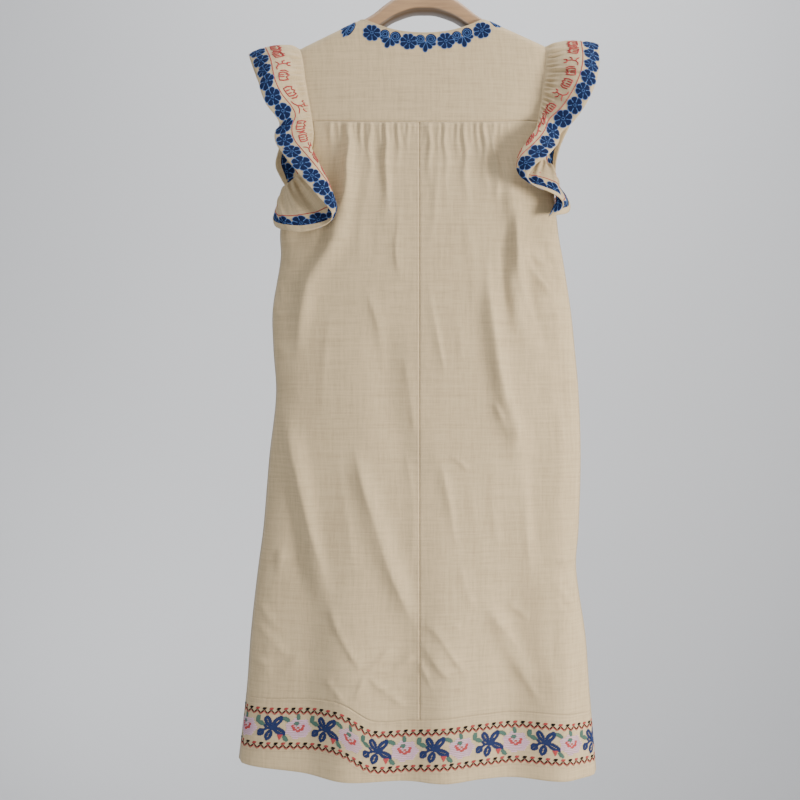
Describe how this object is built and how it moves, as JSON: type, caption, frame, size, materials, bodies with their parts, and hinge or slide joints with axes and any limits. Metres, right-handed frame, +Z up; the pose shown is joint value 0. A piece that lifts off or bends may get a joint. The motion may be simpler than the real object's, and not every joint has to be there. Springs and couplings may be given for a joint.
{
  "type": "ruffle-sleeve shift dress on a hanger",
  "caption": "Loose linen shift dress with gathered back yoke, fluttering ruffle sleeves and an embroidered border, hung on a wooden hanger.",
  "frame": {"origin": "inside top of the hanger's hook, where it bears on a rail", "axes": "+Z up along the dress; the dress's back faces -Y and its front +Y; +X to the right when looking at its back"},
  "size_m": [0.5392, 0.1409, 1.2491],
  "materials": {
    "linen_body": "slubby linen and cotton weave, matt cream",
    "linen_ruffle": "the same cloth, embroidered in blue and red thread",
    "linen_band": "the same cloth, embroidered with a flower border",
    "beech_wood": "satin varnished beech",
    "steel_wire": "bright bent wire"
  },
  "bodies": {
    "root": {"back_yoke": "linen_body", "back_left": "linen_body", "back_right": "linen_body", "front": "linen_body", "sleeve_left": "linen_ruffle", "sleeve_right": "linen_ruffle", "hem_band_back": "linen_band", "hem_band_front": "linen_band", "hanger_body": "beech_wood", "hanger_hook": "steel_wire"}
  },
  "joints": []
}
